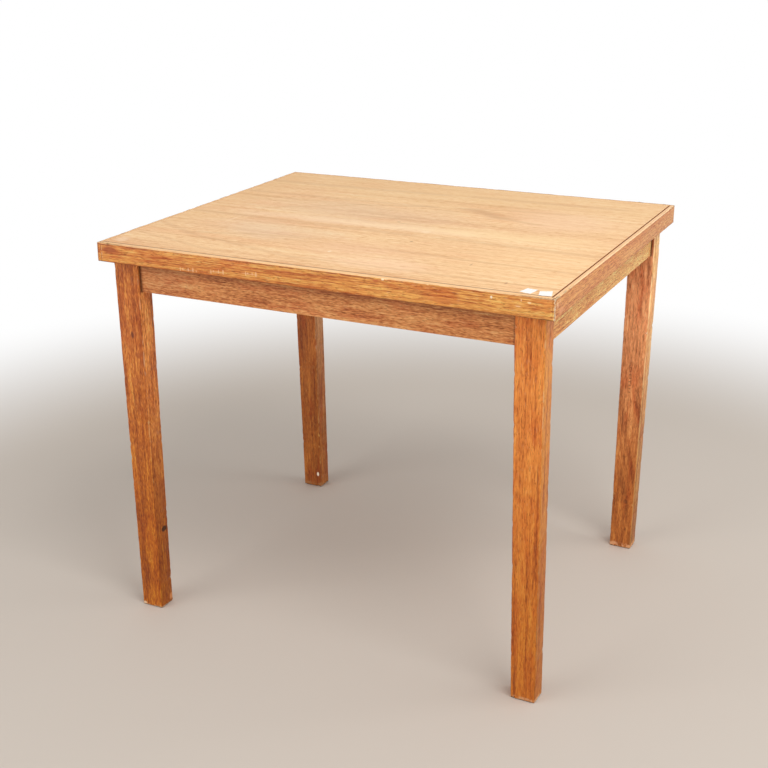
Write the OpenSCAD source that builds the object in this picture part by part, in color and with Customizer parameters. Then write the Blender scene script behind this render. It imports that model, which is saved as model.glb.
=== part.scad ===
// Small dining table: a veneered top in a mitred rim, on four tapered legs.
// X runs along the long side, the front looks towards -Y, and Z is 0 at the floor.

/* [Table] */
// Length of the top, along X
top_l = 850; // [700:5:1100]
// Depth of the top, along Y
top_w = 690; // [600:5:850]
// Height of the top's surface above the floor
table_h = 730; // [600:5:780]

/* [Top panel] */
// Thickness of the board inside the panel
core_t = 18; // [16:0.5:22]
// Thickness of the veneer on each side of the board
veneer_t = 0.6; // [0.5:0.1:1]

/* [Rim] */
// Height of the rim, from the table's surface to its lower edge
rim_h = 35; // [32:1:45]
// Thickness of the rim below the panel
rim_t = 18; // [17:0.5:20]
// Width of the lip that shows around the panel
lip_w = 9; // [7:0.5:11]
// How much of the right lip the open groove takes
lip_cut = 2; // [0.5:0.25:3]
// Gap between the panel's face and the lip, on the right
groove_right = 0.2; // [0.1:0.1:2]
// The same gap at the front
groove_front = 1; // [0.4:0.1:3]
// The same gap on the left and at the back, where the panel fits closely
groove_close = 0.4; // [0.2:0.1:1]
// Depth of the groove round the panel's face
groove_d = 1.6; // [1.2:0.1:3]
// Rounding of the rim's long outer edges
rim_round = 2.5; // [1:0.5:5]
// Rounding of the rim's upright corners
corner_round = 2.5; // [1:0.5:5]

/* [Mitre keys] */
// Thickness of the key across each mitre
key_t = 3; // [2:0.5:5]
// Width of the key, along the mitre
key_w = 7; // [5:0.5:8]
// Length of the key, across the mitre
key_l = 14; // [10:1:15]

/* [Legs] */
// Size of a leg along X, at the aprons
leg_top_x = 51; // [46:1:60]
// Size of a leg along Y, at the aprons
leg_top_y = 38; // [36:1:50]
// Size of a leg along X, at the floor
leg_foot_x = 45; // [35:1:50]
// Size of a leg along Y, at the floor
leg_foot_y = 36; // [30:1:45]
// Space between the rim and the leg's outer face, along X
leg_gap_x = 2; // [0.5:0.5:6]
// Space between the rim and the leg's outer face, along Y
leg_gap_y = 1; // [0.5:0.5:6]
// Rounding of a leg's long edges
leg_round = 2; // [0.5:0.5:4]
// Bevel around the foot
foot_bevel = 1.5; // [0.5:0.5:4]

/* [Lean of the worn legs] */
// Front left foot, how far its outer corner stands in from plumb, along X and Y
lean_front_left = [1, -5]; // [-12:1:15]
// Front right foot
lean_front_right = [1, 11]; // [-12:1:15]
// Back left foot
lean_back_left = [12, 7]; // [-12:1:15]
// Back right foot
lean_back_right = [12, -3]; // [-12:1:15]

/* [Aprons] */
// Height of an apron, up to the panel's underside
apron_h = 71; // [66:1:100]
// Thickness of an apron
apron_t = 20; // [18:1:24]
// How far an apron's face stands back from the leg's outer face
apron_reveal = 7; // [2:0.5:10]
// Rounding of an apron's lower edges
apron_round = 1.5; // [0.5:0.5:4]

/* [Dowels] */
// Diameter of a dowel between apron and leg
dowel_d = 8; // [6:1:10]
// Length of a dowel, half of it in the leg
dowel_l = 36; // [26:2:40]
// Distance between the two dowels of one joint
dowel_pitch = 30; // [24:1:36]

/* [Corner blocks] */
// Thickness of a block, along the corner's diagonal
block_t = 22; // [18:1:30]
// Height of a block
block_h = 50; // [44:1:55]
// Space between a block and the panel's underside
block_drop = 10; // [4:1:12]
// Width of the flat on the leg's inner edge that faces the block
leg_flat_w = 14; // [8:1:18]
// Open space between that flat and the block
block_gap = 6; // [5:0.5:10]

/* [Hanger bolts] */
// Diameter of a bolt
bolt_d = 8; // [6:1:8]
// Length of a bolt inside the leg
bolt_in_leg = 36; // [25:1:40]
// Length of bare thread beyond the nut
bolt_spare = 5; // [2:1:15]
// Outer diameter of a washer
washer_d = 20; // [18:1:24]
// Thickness of a washer
washer_t = 1.6; // [1:0.1:2.5]
// Width across the flats of a nut
nut_w = 13; // [12:0.5:14]
// Height of a nut
nut_h = 6.5; // [5:0.5:8]

/* [Screws] */
// Diameter of a screw's shank
screw_d = 4; // [3:0.5:5]
// Diameter of a screw's head
head_d = 8; // [7:0.5:9]
// Height of a screw's countersunk head
head_h = 2.4; // [2:0.1:3]
// Length of a block's screws
block_screw_l = 26; // [22:1:28]
// Length of a block's screws that is in the block
block_screw_grip = 12; // [9:0.5:13]
// Distance between the two screws at one end of a block
block_screw_pitch = 30; // [20:1:34]
// Length of a button's screw
button_screw_l = 26; // [20:1:28]

/* [Buttons] */
// Width of a button, along the apron
button_w = 25; // [16:1:40]
// Length of a button in front of the apron
button_l = 26; // [18:1:40]
// Length of the tongue that sits in the apron's groove
tongue_l = 7; // [4:0.5:7.5]
// Bevel on the button's free end
button_bevel = 4; // [1:0.5:8]
// Height of the groove that the tongue sits in
slot_h = 6.4; // [5:0.2:8]
// Depth of that groove in the apron
slot_d = 8; // [7.5:0.5:9]
// Solid wood between the groove and the apron's top
slot_drop = 8; // [5:1:9]

/* [Fits] */
// Clearance around keys, dowels and tongues
wood_clear = 0.1; // [0.05:0.05:0.3]
// Clearance around screws
screw_clear = 0.1; // [0.05:0.05:0.3]
// Clearance around a bolt in its block and its washer
bolt_clear = 0.4; // [0.2:0.1:0.8]

/* [Hidden] */
$fn = 48;

// Corners, as the signs of X and Y there
front_left = [-1, -1];
front_right = [1, -1];
back_left = [-1, 1];
back_right = [1, 1];
corners = [front_left, front_right, back_left, back_right];

// Sides, as the turn about Z that brings the front there
front_side = 0;
right_side = 90;
back_side = 180;
left_side = 270;
sides = [front_side, right_side, back_side, left_side];

// Steps of a leg's rounded edges, and how far a cut runs past a face
round_steps = 4;
past = 1;

// Colours of the oiled wood, the lighter top and the steel
top_colour = [0.87, 0.67, 0.44];
rim_colour = [0.78, 0.48, 0.24];
leg_colour = [0.70, 0.40, 0.19];
apron_colour = [0.66, 0.38, 0.20];
board_colour = [0.80, 0.68, 0.50];
block_colour = [0.82, 0.66, 0.44];
steel_colour = [0.66, 0.67, 0.69];

// Levels
panel_t = core_t + 2 * veneer_t;
under_z = table_h - panel_t;
rim_z = table_h - rim_h;
apron_z = under_z - apron_h;
block_z = under_z - block_drop - block_h;
joint_z = block_z + block_h / 2;
slot_z = under_z - slot_drop - slot_h;

// The panel fills the rim's rebate, out to the lip
panel_l = top_l - 2 * lip_w;
panel_w = top_w - 2 * lip_w;

// Distances in from the rim's outer faces, at a corner
leg_x = rim_t + leg_gap_x;
leg_y = rim_t + leg_gap_y;
leg_inner = [leg_x + leg_top_x, leg_y + leg_top_y];
apron_in = [leg_x + apron_reveal, leg_y + apron_reveal];
apron_inner = apron_in + [apron_t, apron_t];
apron_mid = apron_in + [apron_t, apron_t] / 2;

// A block lies between two diagonal planes, each where x + y is constant
leg_flat_sum = leg_inner.x + leg_inner.y - leg_flat_w / sqrt(2);
block_near_sum = leg_flat_sum + block_gap * sqrt(2);
block_far_sum = block_near_sum + block_t * sqrt(2);
block_mid_sum = (block_near_sum + block_far_sum) / 2;

// Along a bolt, from the leg's inner edge towards the middle of the table
flat_at = -leg_flat_w / 2;
block_near_at = flat_at + block_gap;
block_far_at = block_near_at + block_t;
nut_at = block_far_at + washer_t;
bolt_end_at = nut_at + nut_h + bolt_spare;

function along_x(side) = side % 180 == 0;
function side_reach(side) = (along_x(side) ? top_w : top_l) / 2;
function rim_l(side) = along_x(side) ? top_l : top_w;
function apron_l(side) = rim_l(side) - 2 * (along_x(side) ? leg_inner.x : leg_inner.y);
function apron_face(side) = along_x(side) ? apron_in.y : apron_in.x;

// Puts its children at a corner, with X and Y running inwards from the rim's faces.
module at_corner(corner) {
    translate([corner.x * top_l / 2, corner.y * top_w / 2, 0])
        mirror([corner.x > 0 ? 1 : 0, 0, 0])
            mirror([0, corner.y > 0 ? 1 : 0, 0])
                children();
}

// Puts its children at the middle of a side, with Y running inwards from the rim's face.
module at_side(side) {
    rotate([0, 0, side])
        translate([0, -side_reach(side), 0])
            children();
}

// Draws its flat child in the Y-Z plane and runs it along X, centred.
module run_along_x(length) {
    translate([-length / 2, 0, 0])
        rotate([90, 0, 90])
            linear_extrude(length)
                children();
}

// What a rounding of radius r takes off a square corner at the origin.
module corner_waste(r) {
    difference() {
        translate([-past, -past]) square(r + past);
        translate([r, r]) circle(r);
    }
}

// A centred plate that rests on level z.
module plate(length, width, thickness, z) {
    translate([-length / 2, -width / 2, z]) cube([length, width, thickness]);
}

// Points around a rectangle with rounded corners, from its corner at the origin.
function round_rect(size, r) = [
    for (quarter = [0 : 3], step = [0 : round_steps])
        let (
            turn = 180 + 90 * quarter + 90 * step / round_steps,
            centre = [
                quarter == 0 || quarter == 3 ? r : size.x - r,
                quarter < 2 ? r : size.y - r
            ]
        )
        centre + r * [cos(turn), sin(turn)]
];

// A solid through rings of points, each ring given as [z, outline], from the lowest up.
module loft(rings) {
    n = len(rings[0][1]);
    last = len(rings) - 1;
    polyhedron(
        points = [for (ring = rings, p = ring[1]) [p.x, p.y, ring[0]]],
        faces = concat(
            [[for (i = [0 : n - 1]) i]],
            [[for (i = [n - 1 : -1 : 0]) last * n + i]],
            [
                for (k = [0 : last - 1], i = [0 : n - 1])
                    let (j = (i + 1) % n)
                    [k * n + i, (k + 1) * n + i, (k + 1) * n + j, k * n + j]
            ]
        )
    );
}

function shifted(points, by) = [for (p = points) p + by];

// A countersunk screw that points along +Z, with its head's face at z 0.
module screw(length, clear = 0) {
    cylinder(h = length + clear, d = screw_d + 2 * clear);
    cylinder(h = head_h, d1 = head_d + 2 * clear, d2 = screw_d + 2 * clear);
}

// Seats of the two pairs of screws in the block at this corner, heads towards the block.
module at_block_screws() {
    for (z = [joint_z - block_screw_pitch / 2, joint_z + block_screw_pitch / 2]) {
        translate([block_mid_sum - apron_inner.y, apron_inner.y + block_screw_grip, z])
            rotate([90, 0, 0])
                children();
        translate([apron_inner.x + block_screw_grip, block_mid_sum - apron_inner.x, z])
            rotate([0, -90, 0])
                children();
    }
}

// Centres of the dowels at this corner, each dowel lying along Z of its seat.
module at_dowels() {
    for (z = [joint_z - dowel_pitch / 2, joint_z + dowel_pitch / 2]) {
        translate([leg_inner.x, apron_mid.y, z]) rotate([0, 90, 0]) children();
        translate([apron_mid.x, leg_inner.y, z]) rotate([90, 0, 0]) children();
    }
}

// The line of the hanger bolt at this corner: +Z of its seat points out of the leg.
module at_bolt() {
    translate([leg_inner.x, leg_inner.y, joint_z])
        rotate([0, 0, 45])
            rotate([0, 90, 0])
                children();
}

// Places of the two buttons of a side, with Y running inwards from the apron's inner face.
module at_buttons(side) {
    for (x = [-1, 1] * apron_l(side) / 4)
        translate([x, apron_face(side) + apron_t, slot_z])
            children();
}

// Where a button's screw enters, from below
module at_button_screw() {
    translate([0, button_l / 2, 0]) children();
}

// --- Top ---

module top_core() {
    step = groove_d - veneer_t;
    color(board_colour)
        difference() {
            union() {
                plate(panel_l, panel_w, core_t - step, under_z + veneer_t);
                panel_field(core_t, under_z + veneer_t);
            }
            button_screw_holes();
        }
}

module top_veneer() {
    color(top_colour) panel_field(veneer_t, table_h - veneer_t);
}

// A plate as wide as the field inside the open groove.
module panel_field(thickness, z) {
    translate([-panel_l / 2 + groove_close, -panel_w / 2 + groove_front, z])
        cube([
            panel_l - groove_close - groove_right,
            panel_w - groove_close - groove_front,
            thickness
        ]);
}

module back_veneer() {
    color(board_colour)
        difference() {
            plate(panel_l, panel_w, veneer_t, under_z);
            button_screw_holes();
        }
}

module button_screw_holes() {
    for (side = sides)
        at_side(side)
            at_buttons(side)
                at_button_screw()
                    screw(button_screw_l, screw_clear);
}

// --- Rim ---

// Section of the rim: outer face at x 0, lower edge at y 0, rebate for the panel inside.
// On the right the open groove is cut out of the lip.
module rim_section(cut = 0) {
    difference() {
        union() {
            square([rim_t, rim_h - panel_t]);
            square([lip_w, rim_h]);
        }
        corner_waste(rim_round);
        translate([0, rim_h]) mirror([0, 1]) corner_waste(rim_round);
        if (cut > 0)
            translate([lip_w - cut, rim_h - groove_d]) square([cut + past, groove_d + past]);
    }
}

module rim(side) {
    length = rim_l(side);
    color(rim_colour)
        difference() {
            at_side(side)
                translate([0, 0, rim_z])
                    intersection() {
                        run_along_x(length) rim_section(side == right_side ? lip_cut : 0);
                        linear_extrude(rim_h)
                            polygon([
                                [-length / 2, 0],
                                [length / 2, 0],
                                [length / 2 - rim_t, rim_t],
                                [-length / 2 + rim_t, rim_t]
                            ]);
                        linear_extrude(rim_h)
                            polygon(shifted(
                                round_rect([length, 2 * rim_t], corner_round),
                                [-length / 2, 0]
                            ));
                    }
            for (corner = corners) at_corner(corner) mitre_key(wood_clear);
        }
}

// A key lies flat across the mitre, hidden in the thick part of the rim.
module mitre_key(clear = 0) {
    translate([rim_t / 2, rim_t / 2, rim_z + (rim_h - panel_t) / 2])
        rotate([0, 0, 45])
            cube([key_w + 2 * clear, key_l + 2 * clear, key_t + 2 * clear], center = true);
}

module mitre_keys() {
    color(block_colour)
        for (corner = corners) at_corner(corner) mitre_key();
}

// --- Legs ---

// A straight square block beside the aprons, then a taper down to the bevelled foot.
module leg_body(lean) {
    head = shifted(round_rect([leg_top_x, leg_top_y], leg_round), [leg_x, leg_y]);
    foot_at = [leg_x, leg_y] + lean;
    foot = shifted(round_rect([leg_foot_x, leg_foot_y], leg_round), foot_at);
    sole_size = [leg_foot_x, leg_foot_y] - 2 * [foot_bevel, foot_bevel];
    sole = shifted(round_rect(sole_size, leg_round), foot_at + [foot_bevel, foot_bevel]);
    loft([[0, sole], [foot_bevel, foot], [apron_z, head], [under_z, head]]);
}

module leg(corner, lean) {
    color(leg_colour)
        at_corner(corner)
            difference() {
                leg_body(lean);
                leg_flat_cut();
                at_bolt() bolt_hole(0);
                at_dowels() dowel(wood_clear);
            }
}

// The flat on the leg's inner edge, as high as the block beside it.
module leg_flat_cut() {
    at_bolt()
        translate([-(block_h / 2 + block_drop + past), -leg_flat_w, flat_at])
            cube([block_h + block_drop + past, 2 * leg_flat_w, leg_flat_w]);
}

// --- Aprons ---

// Section of an apron: outer face at x 0, lower edge at y 0, groove for the buttons.
module apron_section() {
    difference() {
        square([apron_t, apron_h]);
        corner_waste(apron_round);
        translate([apron_t, 0]) mirror([1, 0]) corner_waste(apron_round);
        translate([apron_t - slot_d, slot_z - apron_z]) square([slot_d + past, slot_h]);
    }
}

module apron(side) {
    color(apron_colour)
        difference() {
            at_side(side)
                translate([0, apron_face(side), apron_z])
                    run_along_x(apron_l(side)) apron_section();
            for (corner = corners)
                at_corner(corner) {
                    at_dowels() dowel(wood_clear);
                    at_block_screws() screw(block_screw_l, screw_clear);
                }
        }
}

module dowel(clear = 0) {
    cylinder(h = dowel_l + 2 * clear, d = dowel_d + 2 * clear, center = true);
}

module apron_dowels() {
    color(block_colour)
        for (corner = corners) at_corner(corner) at_dowels() dowel();
}

// --- Corner blocks ---

module corner_block(corner) {
    color(block_colour)
        at_corner(corner)
            difference() {
                translate([0, 0, block_z])
                    linear_extrude(block_h)
                        polygon([
                            [block_near_sum - apron_inner.y, apron_inner.y],
                            [block_far_sum - apron_inner.y, apron_inner.y],
                            [apron_inner.x, block_far_sum - apron_inner.x],
                            [apron_inner.x, block_near_sum - apron_inner.x]
                        ]);
                at_bolt() bolt_hole(bolt_clear);
                at_block_screws() {
                    screw(block_screw_l, screw_clear);
                    translate([0, 0, -block_t]) cylinder(h = block_t, d = head_d + 2 * screw_clear);
                }
            }
}

module block_screws() {
    color(steel_colour)
        for (corner = corners) at_corner(corner) at_block_screws() screw(block_screw_l);
}

// --- Bolts ---

module bolt_hole(clear) {
    translate([0, 0, flat_at - bolt_in_leg])
        cylinder(h = bolt_end_at - flat_at + bolt_in_leg + past, d = bolt_d + 2 * clear);
}

module hanger_bolts() {
    color(steel_colour)
        for (corner = corners)
            at_corner(corner)
                at_bolt()
                    translate([0, 0, flat_at - bolt_in_leg])
                        cylinder(h = bolt_end_at - flat_at + bolt_in_leg, d = bolt_d);
}

module bolt_washers() {
    color(steel_colour)
        for (corner = corners)
            at_corner(corner)
                difference() {
                    at_bolt() translate([0, 0, block_far_at]) cylinder(h = washer_t, d = washer_d);
                    at_bolt() bolt_hole(bolt_clear);
                }
}

module bolt_nuts() {
    color(steel_colour)
        for (corner = corners)
            at_corner(corner)
                difference() {
                    at_bolt()
                        translate([0, 0, nut_at])
                            cylinder(h = nut_h, d = nut_w / cos(30), $fn = 6);
                    at_bolt() bolt_hole(0);
                }
}

// --- Buttons ---

// Side view of a button: tongue at the back, bevel at the free end.
module button_section() {
    height = slot_drop + slot_h;
    tongue_h = slot_h - 2 * wood_clear;
    polygon([
        [-tongue_l, 0],
        [button_l - button_bevel, 0],
        [button_l, button_bevel],
        [button_l, height],
        [0, height],
        [0, tongue_h],
        [-tongue_l, tongue_h]
    ]);
}

module top_buttons() {
    color(block_colour)
        for (side = sides)
            at_side(side)
                at_buttons(side)
                    difference() {
                        run_along_x(button_w) button_section();
                        at_button_screw() screw(button_screw_l, screw_clear);
                    }
}

module button_screws() {
    color(steel_colour)
        for (side = sides)
            at_side(side)
                at_buttons(side)
                    at_button_screw()
                        screw(button_screw_l);
}

top_core();
top_veneer();
back_veneer();
rim(front_side);  // rim_front
rim(right_side);  // rim_right
rim(back_side);  // rim_back
rim(left_side);  // rim_left
mitre_keys();
leg(front_left, lean_front_left);  // leg_front_left
leg(front_right, lean_front_right);  // leg_front_right
leg(back_left, lean_back_left);  // leg_back_left
leg(back_right, lean_back_right);  // leg_back_right
apron(front_side);  // apron_front
apron(right_side);  // apron_right
apron(back_side);  // apron_back
apron(left_side);  // apron_left
corner_block(front_left);  // block_front_left
corner_block(front_right);  // block_front_right
corner_block(back_left);  // block_back_left
corner_block(back_right);  // block_back_right
apron_dowels();
block_screws();
hanger_bolts();
bolt_washers();
bolt_nuts();
top_buttons();
button_screws();
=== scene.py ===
# Small dining table: wood, steel and paper finishes, worn details, floor, light and camera.
# Everything is in metres, with the front of the table towards -Y.
import math

import bpy
from mathutils import Matrix, Vector


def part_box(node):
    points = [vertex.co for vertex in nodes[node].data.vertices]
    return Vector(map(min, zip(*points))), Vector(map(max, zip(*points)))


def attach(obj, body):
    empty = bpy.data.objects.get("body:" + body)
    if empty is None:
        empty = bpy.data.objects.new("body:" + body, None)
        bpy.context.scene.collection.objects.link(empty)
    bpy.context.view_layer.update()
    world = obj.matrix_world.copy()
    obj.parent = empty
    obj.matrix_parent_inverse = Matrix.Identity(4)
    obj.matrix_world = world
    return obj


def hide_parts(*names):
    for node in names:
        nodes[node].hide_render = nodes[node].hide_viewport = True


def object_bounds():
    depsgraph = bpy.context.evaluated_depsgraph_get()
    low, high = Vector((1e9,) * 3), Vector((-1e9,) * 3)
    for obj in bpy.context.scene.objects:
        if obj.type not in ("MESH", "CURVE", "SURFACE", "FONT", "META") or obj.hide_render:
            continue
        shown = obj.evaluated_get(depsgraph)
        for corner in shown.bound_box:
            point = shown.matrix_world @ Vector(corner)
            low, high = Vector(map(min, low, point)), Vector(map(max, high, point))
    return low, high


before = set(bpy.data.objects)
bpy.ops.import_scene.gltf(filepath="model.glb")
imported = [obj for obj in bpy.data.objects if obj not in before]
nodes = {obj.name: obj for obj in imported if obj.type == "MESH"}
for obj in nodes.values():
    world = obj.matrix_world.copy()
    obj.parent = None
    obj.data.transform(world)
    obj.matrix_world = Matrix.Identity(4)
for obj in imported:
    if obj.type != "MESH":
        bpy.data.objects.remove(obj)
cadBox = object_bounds()
print("frame loaded")


def colour(red, green, blue):
    # screen values from 0 to 255, turned into the linear ones that Blender uses
    def linear(value):
        share = value / 255
        return share / 12.92 if share <= 0.04045 else ((share + 0.055) / 1.055) ** 2.4

    return (linear(red), linear(green), linear(blue), 1.0)


def mathStep(operation, turned=False):
    # a method that adds one Math node, with the wire first, or last if turned
    def step(self, *others):
        values = (*others, self) if turned else (self, *others)
        return self.maker.add("Math", {"operation": operation}, dict(enumerate(values)))

    return step


class Wire:
    # one output of a node, so that sums on it read as sums
    def __init__(self, maker, socket):
        self.maker = maker
        self.socket = socket

    __add__, __radd__ = mathStep("ADD"), mathStep("ADD", True)
    __sub__, __rsub__ = mathStep("SUBTRACT"), mathStep("SUBTRACT", True)
    __mul__, __rmul__ = mathStep("MULTIPLY"), mathStep("MULTIPLY", True)
    __truediv__, __rtruediv__ = mathStep("DIVIDE"), mathStep("DIVIDE", True)
    __pow__ = mathStep("POWER")
    root, size = mathStep("SQRT"), mathStep("ABSOLUTE")
    least, most = mathStep("MINIMUM"), mathStep("MAXIMUM")

    def rise(self, start, end=None, curve="SMOOTHSTEP"):
        # 0 up to start and 1 from end on, with a soft step between; start may be the larger.
        # One word instead names a span in the look
        if end is None:
            start, end = self.maker.look[start]
        return self.maker.add(
            "MapRange",
            {"interpolation_type": curve, "clamp": True},
            {"Value": self, "From Min": start, "From Max": end, "To Min": 0.0, "To Max": 1.0},
        )


class Maker:
    # builds one material, or the world, node by node
    def __init__(self, name, look=None, kind="materials"):
        self.look = look
        self.owner = getattr(bpy.data, kind).new(name)
        self.owner.use_nodes = True
        self.tree = self.owner.node_tree
        self.tree.nodes.clear()

    def add(self, kind, settings=None, sockets=None, out=0):
        node = self.tree.nodes.new("ShaderNode" + kind)
        node.location = (190 * (len(self.tree.nodes) % 12), -210 * (len(self.tree.nodes) // 12))
        for key, value in (settings or {}).items():
            if key == "stops":
                self.setStops(node.color_ramp.elements, value)
            else:
                setattr(node, key, value)
        for key, value in (sockets or {}).items():
            if isinstance(value, Wire):
                self.tree.links.new(value.socket, node.inputs[key])
            else:
                node.inputs[key].default_value = value
        return Wire(self, node.outputs[out]) if node.outputs else None

    def setStops(self, elements, stops):
        while len(elements) < len(stops):
            elements.new(0.5)
        for element, (place, shade) in zip(elements, stops):
            element.position = place
            element.color = shade

    def place(self):
        spot = self.add("TexCoord", out="Object")
        return [self.add("SeparateXYZ", {}, {0: spot}, out=i) for i in range(3)]

    def noise(self, spot, detail=2.0, roughness=0.5):
        point = self.add("CombineXYZ", {}, dict(enumerate(spot)))
        return self.add(
            "TexNoise",
            {"noise_dimensions": "3D"},
            {"Vector": point, "Scale": 1.0, "Detail": detail, "Roughness": roughness},
        )

    def blend(self, share, first, second, way="MIX"):
        return self.add(
            "Mix",
            {"data_type": "RGBA", "blend_type": way, "clamp_factor": True},
            {0: share, 6: first, 7: second},
            out=2,
        )

    def paint(self, shade, cover, tone, share=None):
        # lays a colour over the shade where cover is, as strongly as share says; one word names both in the look
        if share is None:
            tone, share = self.look[tone]
        return self.blend(cover * share, shade, tone)

    def ramp(self, value, stops):
        return self.add("ValToRGB", {"stops": stops}, {0: value})

    def seenPlain(self):
        # 1 for the camera's rays and those off gloss or through glass, which see a white background
        rays = [self.add("LightPath", {}, {}, f"Is {kind} Ray") for kind in ("Camera", "Glossy", "Transmission")]
        return rays[0].most(rays[1]).most(rays[2])

    def finish(self, base, rough, height, metallic=0.0):
        depth, strength = self.look["bump"]
        shader = self.add("BsdfPrincipled", {}, {
            "Base Color": base,
            "Roughness": rough,
            "Metallic": metallic,
            "Specular IOR Level": 0.3,
            "Normal": self.add("Bump", {}, {"Strength": strength, "Distance": depth, "Height": height}),
        })
        return self.surface(shader)

    def surface(self, shader, end="OutputMaterial"):
        self.add(end, {}, {"Surface": shader})
        return self.owner


def dress(name, material):
    piece = nodes[name]
    if not piece.material_slots:
        piece.data.materials.append(material)
    for slot in piece.material_slots:
        slot.material = material


def middle(first, second, third):
    # the middle one of three values: on a box, how far the nearest edge is
    total = first + second + third
    return total - first.least(second).least(third) - first.most(second).most(third)


def boardLines(m, name, grain):
    # how far a point is along, across and into a straight board, and from its nearest edge
    low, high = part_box(name)
    x, y, z = m.place()
    edge = middle(*[(spot - low[i]).least(high[i] - spot) for i, spot in enumerate((x, y, z))])
    mid = (low + high) / 2
    if grain == "x":
        along, across, depth = x, z - mid.z, y - mid.y
    else:
        along, across, depth = y, z - mid.z, x - mid.x
    return {"x": x, "y": y, "z": z, "along": along, "across": across, "depth": depth, "edge": edge}


def spanAt(name, low, high):
    # a node's sides between two levels, measured on its corners
    points = [v.co for v in nodes[name].data.vertices if low <= v.co.z <= high]
    return [(min(p[i] for p in points), max(p[i] for p in points)) for i in (0, 1)]


def legSides(name):
    # the level of the aprons' lower edge, and a function for the leg's sides below it
    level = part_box("apron_front")[0].z
    # the foot's lowest full corners stand just above its chamfer
    foot = spanAt(name, 0.0012, 0.0018)
    head = spanAt(name, level - 0.001, level + 0.001)

    def sidesAt(down, axis):
        # the two sides on one axis, where down is the share of the way from the aprons to the floor
        return [atHead + down * (atFoot - atHead) for atFoot, atHead in zip(foot[axis], head[axis])]

    return level, sidesAt


def legLines(m, name):
    # the same for a leg, whose grain follows its taper and its lean
    apronLevel, sidesAt = legSides(name)
    x, y, z = m.place()
    down = (1 - z / apronLevel).most(0)
    sides = []
    middles = []
    for axis, spot in enumerate((x, y)):
        low, high = sidesAt(down, axis)
        sides.append((spot - low).least(high - spot))
        middles.append(spot - (low + high) * 0.5)
    edge = middle(*sides, z.least(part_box(name)[1].z - z))
    return {
        "x": x, "y": y, "z": z, "along": z, "across": middles[0], "depth": middles[1],
        "edge": edge, "sides": sides,
    }


# every wood's own values, which the looks below add to or change; each look's shares say how much rings,
# streaks, patches and specks count in its tone
woodLook = dict(
    # noises: how often they change along and across the grain, per metre
    ringAlong=2.0, swayAcross=9, streak=(13, 330), patch=(8, 48),
    speck=(110, 420), blotch=(14, 55), pore=(110, 560), fleck=(90, 480),
    fibreScale=(60, 700), rubScale=(34, 60),
    # from where to where each of them shows
    toneSpan=(0.36, 0.64), redSpan=(0.48, 0.66), fibreSpan=(0.38, 0.72),
    poreSpan=(0.60, 0.68), fleckSpan=(0.62, 0.72), tint=(1, 1, 1),
    dark=colour(120, 62, 40), deep=colour(190, 130, 92), fibre=0.5,
    flecks=0.2, swaySize=0.006, bump=(0.00012, 0.4),
    # painted light and shade along the piece: where it changes, and its gains before and after
    lightGains=(0.0, 1.0, (1.0, 1.0, 1.0), (1.0, 1.0, 1.0)),
    # how far around a knot the grain bends, and how much
    knotSpan=(2.6, 0.3), knotPush=0.55,
    # bare wood shows near the arrises, where more than a little is lost
    chipRagged=0.0006, chipReach=(0.006, 0.0035),
    # what fibres, pores and worn arrises add to the roughness, and fibres, streaks and pores to the height
    roughBy=(0.12, 0.15, -0.06), heightBy=(0.35, 0.3, -0.8),
    # noise that frays the marks, and the streaks that a streaky mark follows
    markScale=(60, 160), markStreaks=(0.60, 0.38),
)


def mark(at, size, tone, share, ragged=0.8, core=0.4, streaky=False):
    # a stain, knot or bruise: its middle, its reach, its colour and how strong it is
    return {
        "at": at, "size": size, "shade": colour(*tone), "share": share,
        "ragged": ragged, "core": core, "streaky": streaky,
    }


def tinted(stops, tint):
    return [(place, tuple(min(c * t, 0.95) for c, t in zip(shade[:3], tint)) + (1.0,)) for place, shade in stops]


def paintedLightAlong(m, shade, place):
    # painted light and shade: one gain before the span's start and another after its end
    start, end, lowGain, highGain = m.look["lightGains"]
    return m.blend(1.0, shade, m.blend(place.rise(start, end), lowGain + (1,), highGain + (1,)), "MULTIPLY")


def reachFrom(spot, at, size):
    # how far a point is from a middle, counted in sizes
    squares = [((part - centre) / width) ** 2 for part, centre, width in zip(spot, at, size)]
    return sum(squares[1:], squares[0]).root()


def marked(m, lines, shade, marks, streak):
    # stains, knots and bruises at their places
    alongScale, acrossScale = m.look["markScale"]
    spot = (
        lines["along"] * alongScale, lines["across"] * acrossScale + m.look["seed"], lines["depth"] * acrossScale
    )
    wander = m.noise(spot, 3) - 0.5
    for one in marks:
        reach = reachFrom((lines["x"], lines["y"], lines["z"]), one["at"], one["size"])
        cover = (reach + wander * one["ragged"]).rise(1.0, one["core"]) * one["share"]
        if one["streaky"]:
            cover = cover * streak.rise("markStreaks")
        shade = m.blend(cover, shade, one["shade"])
    return shade


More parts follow.
